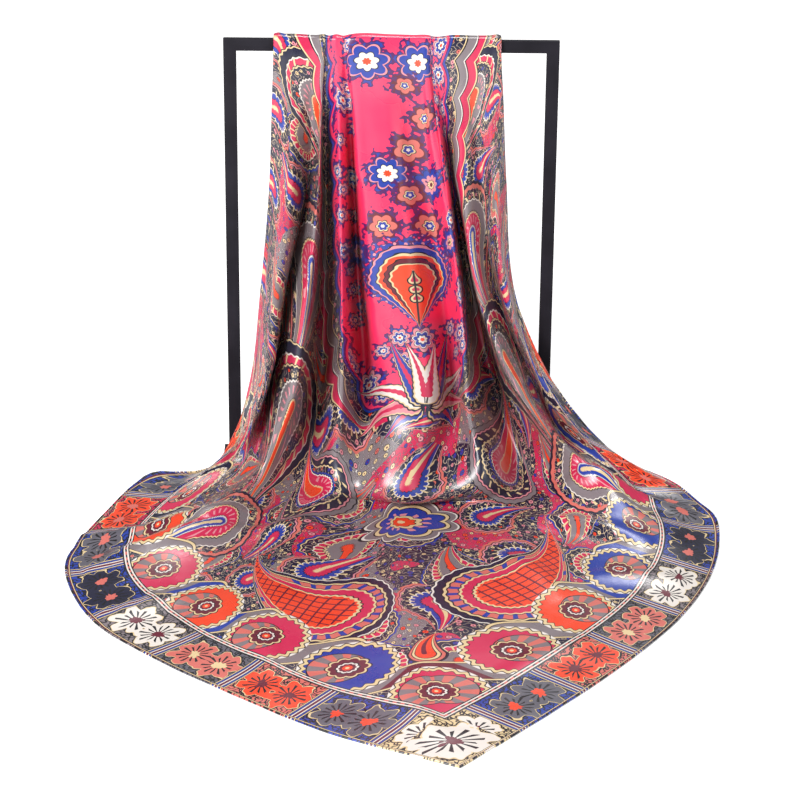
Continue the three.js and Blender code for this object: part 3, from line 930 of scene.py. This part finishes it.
def centre_motifs(under, place, n, q, p):
    """The orange ogee, the fan of leaves below it, the oval flower and the small drop."""
    notch = (1.0 - n / 15.0).high(0.0) * (p > 796.0) * 0.1
    ogee_scale = teardrop(n, 796.0 - p, 25.0, 50.0, 0.0) + notch + (p * (2 * math.pi / 8)).sine() * 0.03
    ogee = ramp(
        ogee_scale,
        [(0.0, ORANGE), (0.84, CREAM), (0.92, BLACK), (0.97, WINE), (1.1, BLACK), (1.14, ORANGE), (1.3, CREAM), (1.38, BLACK),
         (1.42, ROYAL), (1.66, BLUSH), (1.74, BLACK), (1.78, PURPLE), (2.0, PURPLE)],
    )
    for up, turn, reach in ((774, -0.7, 15.0), (785, -0.95, 14.0), (796, -0.5, 12.0)):
        x, y = n - 2.0, p - up
        x, y = x * math.cos(turn) - y * math.sin(turn), x * math.sin(turn) + y * math.cos(turn)
        leaf = teardrop(x, y, 3.8, reach, 5.0)
        ogee = over(ogee, BLACK, leaf < 1.4)
        ogee = over(ogee, CREAM, leaf < 1.0)
        ogee = over(ogee, MAGENTA, leaf < 0.45)
    ogee = over(ogee, BLACK, (n < 1.0) * (p < 808.0) * (ogee_scale < 0.8))
    ragged = ogee_scale + squiggle(place, 4.2) * 1.3
    made = over(under, PURPLE, ragged < 2.86)
    made = over(made, ROYAL, ragged < 2.6)
    made = over(made, BLUSH, (ragged < 2.6) * ((n * 0.6).sine() * (p * 0.6).sine() > 0.55))
    made = over(made, ogee, ogee_scale < 1.78)
    # Leaves that spread out below it, in pairs, the outer ones first
    for turn, reach, colour, bend in LEAVES:
        sine, cosine = math.sin(turn), math.cos(turn)
        x, y = n * cosine - (p - LEAF_ROOT) * sine, n * sine + (p - LEAF_ROOT) * cosine - 16.0
        leaf = teardrop(x, y, 11.0, reach, bend) + (y * 0.9).sine() * 0.05
        blade = over(colour, BLACK, abs(x - y * y * (bend / reach / reach)) < 0.7)
        blade = over(blade, MAGENTA, leaf < 0.36)
        made = over(made, NAVY, leaf < 1.34)
        made = over(made, CREAM, leaf < 1.16)
        made = over(made, blade, leaf < 1.0)
    # The oval flower between the field and the paired paisleys
    x, y = q / 1.5, (p - 470.0)
    flower, angle = petals(x, y, 8, 0.22)
    rays = (angle * 12.0).sine() > 0.2
    oval = ramp(
        flower,
        [(0.0, CREAM), (3.0, ORANGE), (8.5, BLACK), (9.3, CREAM), (12.5, BLACK), (13.3, ROYAL), (25.0, BLACK), (26.0, CREAM),
         (29.0, BLACK), (30.0, TAUPE), (35.0, WHITE), (36.5, BLACK), (38.0, BLACK)],
    )
    oval = over(oval, BLUSH, rays * (flower > 13.3) * (flower < 18.0))
    made = over(made, oval, flower < 38.0)
    drop = teardrop(q, p - 205.0, 13.0, 34.0, 12.0)
    small = ramp(
        drop, [(0.0, WINE), (0.2, ORANGE), (0.72, BLACK), (0.8, CREAM), (1.0, BLACK), (1.08, SALMON), (1.3, BLACK), (1.4, NAVY), (1.6, NAVY)]
    )
    return over(made, small, drop < 1.5)


SCROLL_EDGE = 95.0
SCROLL_PITCH = (900 - 2 * 95) / 7


def scroll_band(under, edge, along, q, fine):
    """Rosettes on a running wave that follows the two near hems."""
    step = along - SCROLL_EDGE
    x = step.wrapped(SCROLL_PITCH)
    y = edge - SCROLL_EDGE
    count = (step - x) / (SCROLL_PITCH * 8) + 0.0625
    one = ramp(
        count, [(0.0, MAGENTA), (0.125, ROYAL), (0.25, MAGENTA), (0.375, ORANGE), (0.5, MAGENTA), (0.625, ORANGE), (0.75, MAGENTA), (1.0, MAGENTA)]
    )
    other = ramp(
        count, [(0.0, MAGENTA), (0.125, MAGENTA), (0.25, ORANGE), (0.375, ROYAL), (0.5, ROYAL), (0.625, MAGENTA), (0.75, ROYAL), (1.0, ROYAL)]
    )
    colour = over(one, other, q > 0.0)
    second = ramp(
        count, [(0.0, WINE), (0.125, TAUPE), (0.375, ROYAL), (0.5, TAUPE), (0.75, NAVY), (1.0, NAVY)]
    )
    # The wave swings out on one side of each disc and in on the other
    swing = (x * (2 * math.pi / SCROLL_PITCH)).sine()
    wave = y - swing * 20.0
    made = over(under, fine["dark"], (wave < 26.0) * (edge > 60.0))
    made = over(made, BLACK, abs(wave) < 26.5)
    made = over(made, CREAM, abs(wave) < 25.5)
    made = over(made, BLACK, abs(wave) < 22.0)
    made = over(made, second, abs(wave) < 21.0)
    reach = length_of(x, y)
    angle = x.math("ARCTAN2", y)
    teeth = (angle * 24.0).sine()
    lace = reach + teeth * 1.8
    disc = over(WHITE, BLACK, lace < 44.0)
    disc = over(disc, CREAM, lace < 42.6)
    disc = over(disc, BLACK, lace < 38.6)
    disc = over(disc, colour, lace < 37.6)
    crescent = length_of(x - 9.0, y + 5.0)
    disc = over(disc, BLACK, crescent < 26.5)
    disc = over(disc, over(TAUPE, SALMON, (angle * 11.0).sine() > 0.0), crescent < 25.4)
    eight = abs((angle * 5.0).sine())
    heart = reach / (eight * 0.16 + 0.88)
    rosette = ramp(
        heart,
        [(0.0, CREAM), (1.8, ORANGE), (4.4, WINE), (7.2, WHITE), (9.0, BLACK), (10.2, WINE), (16.0, CREAM), (18.0, BLACK),
         (19.2, BLACK)],
    )
    disc = over(disc, rosette, heart < 19.2)
    return over(made, disc, reach < 45.6)


BLOCK = 90.0
BORDER = 66.4
PAIR_REACH = 17.0
FAR_BORDER = 17.0


def border(under, place, edge, along, far_edge, p, q, fine):
    """Blocks along the near hems, each with a ruffled flower, and the narrow striped far hems."""
    corner = along < BORDER
    x = (along - BLOCK / 2).wrapped(BLOCK)
    x = x + (q * 0.8 - x) * corner
    y = edge - 30.0
    y = y + (p - 46.0 - y) * corner
    place_along = along / 900.0
    papers = ramp(
        place_along,
        [(0.0, CREAM), (0.09, ROYAL), (0.2, SALMON), (0.3, GREY), (0.4, TAUPE), (0.5, ROYAL), (0.6, ROYAL), (0.7, MAGENTA),
         (0.8, ROYAL), (0.9, CREAM), (1.0, CREAM)],
    )
    flowers = ramp(
        place_along,
        [(0.0, WHITE), (0.09, GREY), (0.2, ORANGE), (0.3, SALMON), (0.4, WHITE), (0.5, NAVY), (0.6, GREY), (0.7, ORANGE),
         (0.8, GREY), (0.9, ORANGE), (1.0, ORANGE)],
    )
    hearts = ramp(
        place_along,
        [(0.0, WINE), (0.09, ORANGE), (0.2, WINE), (0.3, CREAM), (0.4, WINE), (0.5, SALMON), (0.6, SALMON), (1.0, SALMON)],
    )
    beside = abs(x) - PAIR_REACH
    beside = beside + (x * 0.82 - beside) * corner
    ruffled, angle = petals(beside * 1.05, y, 7, 0.34)
    ruffled = ruffled * (1.2 - corner * 0.2) + (squiggle(place, 9.0) - 0.5) * 9.0
    speck = abs(squiggle(place, 4.6) - 0.5) < 0.1
    made = over(papers, BLACK, speck)
    made = over(made, BLACK, ruffled < 27.6)
    made = over(made, CREAM, ruffled < 26.0)
    made = over(made, flowers, ruffled < 24.8)
    veins = ((angle * 14.0).sine() > 0.35) * (ruffled < 18.0)
    made = over(made, BLACK, veins * (ruffled > 6.0))
    made = over(made, hearts, ruffled < 6.5)
    side = 45.0 - abs(x) + corner * 45.0
    stripes = ramp(
        side,
        [(0.0, WINE), (1.4, WHITE), (2.6, BLACK), (3.2, ROYAL), (4.8, BLACK), (5.4, CREAM), (6.4, BLACK), (7.0, BLACK)],
    )
    made = over(made, stripes, side < 7.0)
    dashes = (along * (2 * math.pi / 9)).sine() > 0.0
    lines = ramp(
        edge,
        [(1.6, WINE), (2.4, CREAM), (3.2, BLACK), (4.0, BLACK), (58.5, BLACK), (60.0, WHITE), (61.6, BLACK), (63.4, WHITE),
         (65.0, BLACK), (BORDER, NAVY), (68.0, NAVY)],
    )
    lines = over(lines, SALMON, dashes * (edge > 61.6) * (edge < 63.4))
    made = over(made, lines, (edge > 58.5).high((edge > 1.6) * (edge < 4.0)))
    far = ramp(
        far_edge,
        [(-4.0, BLACK), (2.0, NAVY), (9.0, CREAM), (10.4, BLACK), (11.4, WINE), (14.0, WHITE), (15.2, BLACK), (FAR_BORDER, NAVY),
         (20.0, NAVY)],
    )
    far = over(far, fine["dark"], (far_edge > 2.0) * (far_edge < 9.0))
    made = over(under, made, edge < BORDER)
    return over(made, far, (far_edge < FAR_BORDER) * (edge > BORDER))


def silk_material():
    """Printed satin: the print, an uneven fine weave, and a broad gloss that varies a little."""
    material = bpy.data.materials.new("printed_silk_satin")
    material.use_nodes = True
    tree = material.node_tree
    shader = tree.nodes["Principled BSDF"]
    tree.links.new(print_colour(tree).socket, shader.inputs["Base Color"])
    cloth = tree.nodes.new("ShaderNodeUVMap")
    cloth.uv_map = "flat"
    threads = tree.nodes.new("ShaderNodeMapping")
    threads.inputs["Scale"].default_value = (260, 1500, 1)
    tree.links.new(cloth.outputs["UV"], threads.inputs["Vector"])
    weave = tree.nodes.new("ShaderNodeTexNoise")
    weave.noise_dimensions = "2D"
    weave.inputs["Scale"].default_value = 1
    weave.inputs["Detail"].default_value = 1
    tree.links.new(threads.outputs["Vector"], weave.inputs["Vector"])
    rumple = tree.nodes.new("ShaderNodeTexNoise")
    rumple.noise_dimensions = "2D"
    rumple.inputs["Scale"].default_value = 22
    rumple.inputs["Detail"].default_value = 2
    tree.links.new(cloth.outputs["UV"], rumple.inputs["Vector"])
    gloss = tree.nodes.new("ShaderNodeMapRange")
    gloss.inputs["From Min"].default_value = 0.3
    gloss.inputs["From Max"].default_value = 0.7
    gloss.inputs["To Min"].default_value = 0.24
    gloss.inputs["To Max"].default_value = 0.37
    tree.links.new(rumple.outputs["Fac"], gloss.inputs["Value"])
    tree.links.new(gloss.outputs["Result"], shader.inputs["Roughness"])
    soft = tree.nodes.new("ShaderNodeBump")
    soft.inputs["Strength"].default_value = 0.35
    soft.inputs["Distance"].default_value = 0.0016
    tree.links.new(rumple.outputs["Fac"], soft.inputs["Height"])
    bump = tree.nodes.new("ShaderNodeBump")
    bump.inputs["Strength"].default_value = 0.12
    bump.inputs["Distance"].default_value = 0.0002
    tree.links.new(weave.outputs["Fac"], bump.inputs["Height"])
    tree.links.new(soft.outputs["Normal"], bump.inputs["Normal"])
    tree.links.new(bump.outputs["Normal"], shader.inputs["Normal"])
    shader.inputs["Specular IOR Level"].default_value = 0.75
    shader.inputs["Sheen Weight"].default_value = 0.06
    shader.inputs["Sheen Roughness"].default_value = 0.4
    return material


def paint_material(colour):
    """Satin black powder coat: a fine orange-peel bump and slightly paler, duller patches."""
    material = bpy.data.materials.new("satin_black_powder_coat")
    material.use_nodes = True
    tree = material.node_tree
    shader = tree.nodes["Principled BSDF"]
    place = tree.nodes.new("ShaderNodeTexCoord")
    grain = tree.nodes.new("ShaderNodeTexNoise")
    grain.inputs["Scale"].default_value = 900
    grain.inputs["Detail"].default_value = 2
    wear = tree.nodes.new("ShaderNodeTexNoise")
    wear.inputs["Scale"].default_value = 26
    wear.inputs["Detail"].default_value = 5
    tint = tree.nodes.new("ShaderNodeValToRGB")
    tint.color_ramp.elements[0].position = 0.35
    tint.color_ramp.elements[0].color = (*colour, 1)
    tint.color_ramp.elements[1].position = 0.75
    tint.color_ramp.elements[1].color = (*(1.7 * part + 0.002 for part in colour), 1)
    gloss = tree.nodes.new("ShaderNodeMapRange")
    gloss.inputs["To Min"].default_value = 0.45
    gloss.inputs["To Max"].default_value = 0.6
    bump = tree.nodes.new("ShaderNodeBump")
    bump.inputs["Strength"].default_value = 0.12
    bump.inputs["Distance"].default_value = 0.0004
    for texture in (grain, wear):
        tree.links.new(place.outputs["Object"], texture.inputs["Vector"])
    tree.links.new(wear.outputs["Fac"], tint.inputs["Fac"])
    tree.links.new(tint.outputs["Color"], shader.inputs["Base Color"])
    tree.links.new(wear.outputs["Fac"], gloss.inputs["Value"])
    tree.links.new(gloss.outputs["Result"], shader.inputs["Roughness"])
    tree.links.new(grain.outputs["Fac"], bump.inputs["Height"])
    tree.links.new(bump.outputs["Normal"], shader.inputs["Normal"])
    shader.inputs["Specular IOR Level"].default_value = 0.14
    return material


class SCARF_OT_weld_stand(Operator):
    """Weld the flat-bar stand: one frame with rounded edges, and its two feet"""

    bl_idname = "scarf.weld_stand"
    bl_label = "Weld the stand"

    def execute(self, context):
        sizes = context.scene.stand_sizes
        made = bmesh.new()
        low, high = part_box("base_bar")[0], BAR_BOX[1]
        face = BAR_BOX[1].z - BAR_BOX[0].z
        outer = [(low.x, low.z), (high.x, low.z), (high.x, high.z), (low.x, high.z)]
        inner = [
            (low.x + face, low.z + face),
            (high.x - face, low.z + face),
            (high.x - face, high.z - face),
            (low.x + face, high.z - face),
        ]
        rings = {}
        for depth in (low.y, high.y):
            for kind, loop in (("outer", outer), ("inner", inner)):
                rings[kind, depth] = [made.verts.new((x, depth, z)) for x, z in loop]
        for k in range(4):
            n = (k + 1) % 4
            front_outer, front_inner = rings["outer", low.y], rings["inner", low.y]
            back_outer, back_inner = rings["outer", high.y], rings["inner", high.y]
            made.faces.new((front_outer[k], front_outer[n], front_inner[n], front_inner[k]))
            made.faces.new((back_outer[n], back_outer[k], back_inner[k], back_inner[n]))
            made.faces.new((front_outer[n], front_outer[k], back_outer[k], back_outer[n]))
            made.faces.new((front_inner[k], front_inner[n], back_inner[n], back_inner[k]))
        for name in ("foot_left", "foot_right"):
            box_low, box_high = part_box(name)
            centre = (box_low + box_high) / 2
            extent = box_high - box_low
            placed = Matrix.Translation(centre) @ Matrix.Diagonal((*extent, 1))
            bmesh.ops.create_cube(made, size=1, matrix=placed)
        edges = [edge for edge in made.edges if edge.calc_face_angle(0) > 0.5]
        bmesh.ops.bevel(
            made, geom=edges, offset=sizes.edge_radius, segments=3, profile=0.5, affect="EDGES", clamp_overlap=True
        )
        bmesh.ops.recalc_face_normals(made, faces=made.faces)
        mesh = bpy.data.meshes.new("stand_frame")
        made.to_mesh(mesh)
        made.free()
        mesh.polygons.foreach_set("use_smooth", [True] * len(mesh.polygons))
        piece = bpy.data.objects.new("stand_frame", mesh)
        context.scene.collection.objects.link(piece)
        with context.temp_override(object=piece, active_object=piece, selected_objects=[piece]):
            bpy.ops.object.shade_auto_smooth(angle=math.radians(35))
        mesh.materials.append(paint_material(sizes.paint_colour))
        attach(piece, "root")
        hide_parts("top_bar", "base_bar", "post_left", "post_right", "foot_left", "foot_right")
        return {"FINISHED"}


class SCARF_OT_drape_silk(Operator):
    """Drape the silk square over the bar, with its creases, print and rolled hem"""

    bl_idname = "scarf.drape_silk"
    bl_label = "Drape the silk"

    def execute(self, context):
        sizes = context.scene.scarf_sizes
        thickness = sizes.thickness / MM
        grid, flat = drape(sizes)
        grid = settle(crease(grid, CREASE_ROWS, sizes), thickness)
        normals = facing(grid)
        rows, columns = grid.shape[:2]
        skins = [grid + side * thickness / 2 * normals for side in (1, -1)]
        points = np.concatenate([skin.reshape(-1, 3) for skin in skins]) * MM
        points[:, 2] = np.maximum(points[:, 2], 0)
        flat_share = flat.reshape(-1, 2) * MM / sizes.side
        scarf = add_mesh("silk_square", points, shell_faces(rows, columns), np.tile(flat_share, (2, 1)))
        silk = silk_material()
        scarf.data.materials.append(silk)
        hem = self.roll_hem(grid, normals, flat_share, sizes)
        hem.data.materials.append(silk)
        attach(scarf, "root")
        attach(hem, "root")
        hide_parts("scarf_over_bar", "scarf_fall", "scarf_spread")
        return {"FINISHED"}

    def roll_hem(self, grid, normals, flat_share, sizes):
        rows, columns = grid.shape[:2]
        ring = boundary(rows, columns)
        path = grid.reshape(-1, 3)[ring]
        up = normals.reshape(-1, 3)[ring]
        radius = sizes.hem_width / MM / 2
        ahead = np.roll(path, -1, axis=0) - np.roll(path, 1, axis=0)
        ahead /= np.maximum(np.linalg.norm(ahead, axis=1, keepdims=True), 1e-9)
        up = up - ahead * np.sum(up * ahead, axis=1, keepdims=True)
        up /= np.maximum(np.linalg.norm(up, axis=1, keepdims=True), 1e-9)
        side = np.cross(ahead, up)
        run = np.cumsum(np.linalg.norm(np.roll(path, -1, axis=0) - path, axis=1))
        puckered = radius * (1 + 0.14 * np.sin(2 * math.pi * run * MM / sizes.hem_pucker))
        puckered *= 1 - PRESSED_HEM * np.clip((path[:, 2] - PRESSED_FROM) / PRESSED_FADE, 0, 1)
        path = path.copy()
        path[:, 2] = np.maximum(path[:, 2], radius * 1.1)
        sides = 8
        points = []
        for k in range(sides):
            turn = 2 * math.pi * k / sides
            points.append(path + puckered[:, None] * (math.cos(turn) * up + math.sin(turn) * side))
        points = np.stack(points, axis=1).reshape(-1, 3) * MM
        points[:, 2] = np.maximum(points[:, 2], 0)
        count = len(ring)
        faces = []
        for k in range(count):
            after = (k + 1) % count
            for j in range(sides):
                n = (j + 1) % sides
                faces.append((k * sides + j, k * sides + n, after * sides + n, after * sides + j))
        return add_mesh("rolled_hem", points, faces, np.repeat(flat_share[ring], sides, axis=0))


class SCARF_OT_set_stage(Operator):
    """Lay the pale floor and set the soft studio lights and the camera"""

    bl_idname = "scarf.set_stage"
    bl_label = "Set the stage"

    def execute(self, context):
        settings = context.scene.stage_settings
        floor = add_mesh("studio_floor", [(-6, -6, 0), (6, -6, 0), (6, 6, 0), (-6, 6, 0)], [(0, 1, 2, 3)])
        floor.location.z = -0.0002
        material = bpy.data.materials.new("pale_studio_floor")
        material.use_nodes = True
        shader = material.node_tree.nodes["Principled BSDF"]
        shader.inputs["Base Color"].default_value = (*settings.floor_colour, 1)
        shader.inputs["Roughness"].default_value = 0.8
        shader.inputs["Emission Color"].default_value = (1, 1, 1, 1)
        shader.inputs["Emission Strength"].default_value = settings.floor_glow
        floor.data.materials.append(material)
        self.add_light(context, "key_light", (-1.6, -2.3, 1.9), 1.1, settings.key_power)
        self.add_light(context, "fill_light", (1.9, -2.1, 1.2), 1.6, settings.fill_power)
        self.add_light(context, "top_light", (0.3, 1.1, 2.3), 0.9, settings.fill_power * 2)
        world = context.scene.world or bpy.data.worlds.new("studio")
        context.scene.world = world
        world.use_nodes = True
        world.node_tree.nodes["Background"].inputs["Color"].default_value = (1, 1, 1, 1)
        world.node_tree.nodes["Background"].inputs["Strength"].default_value = 0.22
        context.scene.view_settings.view_transform = "Standard"
        camera = bpy.data.objects.new("camera", bpy.data.cameras.new("camera"))
        context.scene.collection.objects.link(camera)
        camera.data.lens = 158.94
        camera.data.clip_end = 50
        camera.location = (0.0117, -3.331, 1.737)
        pitch = Matrix.Rotation(math.radians(63.435), 4, "X")
        camera.matrix_world = Matrix.Translation(camera.location) @ pitch @ Matrix.Rotation(math.radians(0.5), 4, "Z")
        context.scene.camera = camera
        return {"FINISHED"}

    def add_light(self, context, name, place, size, power):
        data = bpy.data.lights.new(name, "AREA")
        data.energy = power
        data.size = size
        lamp = bpy.data.objects.new(name, data)
        context.scene.collection.objects.link(lamp)
        lamp.location = place
        lamp.rotation_euler = (Vector((0, -0.15, 0.2)) - Vector(place)).to_track_quat("-Z", "Y").to_euler()


class SCARF_PT_panel(Panel):
    """Lists the steps that build the scarf and its stand"""

    bl_label = "Silk square"
    bl_idname = "SCARF_PT_panel"
    bl_space_type = "VIEW_3D"
    bl_region_type = "UI"
    bl_category = "Scarf"

    def draw(self, context):
        for step in STEPS:
            self.layout.operator(step.bl_idname)
        scene = context.scene
        for settings in (scene.scarf_sizes, scene.scarf_colours, scene.stand_sizes, scene.stage_settings):
            box = self.layout.box()
            for name in settings.__annotations__:
                box.prop(settings, name)


STEPS = (SCARF_OT_weld_stand, SCARF_OT_drape_silk, SCARF_OT_set_stage)
CLASSES = (ScarfSizes, ScarfColours, StandSizes, StageSettings, *STEPS, SCARF_PT_panel)


def register():
    for kind in CLASSES:
        bpy.utils.register_class(kind)
    bpy.types.Scene.scarf_sizes = PointerProperty(type=ScarfSizes)
    bpy.types.Scene.scarf_colours = PointerProperty(type=ScarfColours)
    bpy.types.Scene.stand_sizes = PointerProperty(type=StandSizes)
    bpy.types.Scene.stage_settings = PointerProperty(type=StageSettings)


def unregister():
    del bpy.types.Scene.stage_settings
    del bpy.types.Scene.stand_sizes
    del bpy.types.Scene.scarf_colours
    del bpy.types.Scene.scarf_sizes
    for kind in reversed(CLASSES):
        bpy.utils.unregister_class(kind)


def main():
    register()
    bpy.ops.scarf.weld_stand()
    bpy.ops.scarf.drape_silk()
    bpy.ops.scarf.set_stage()


if __name__ == "__main__":
    main()
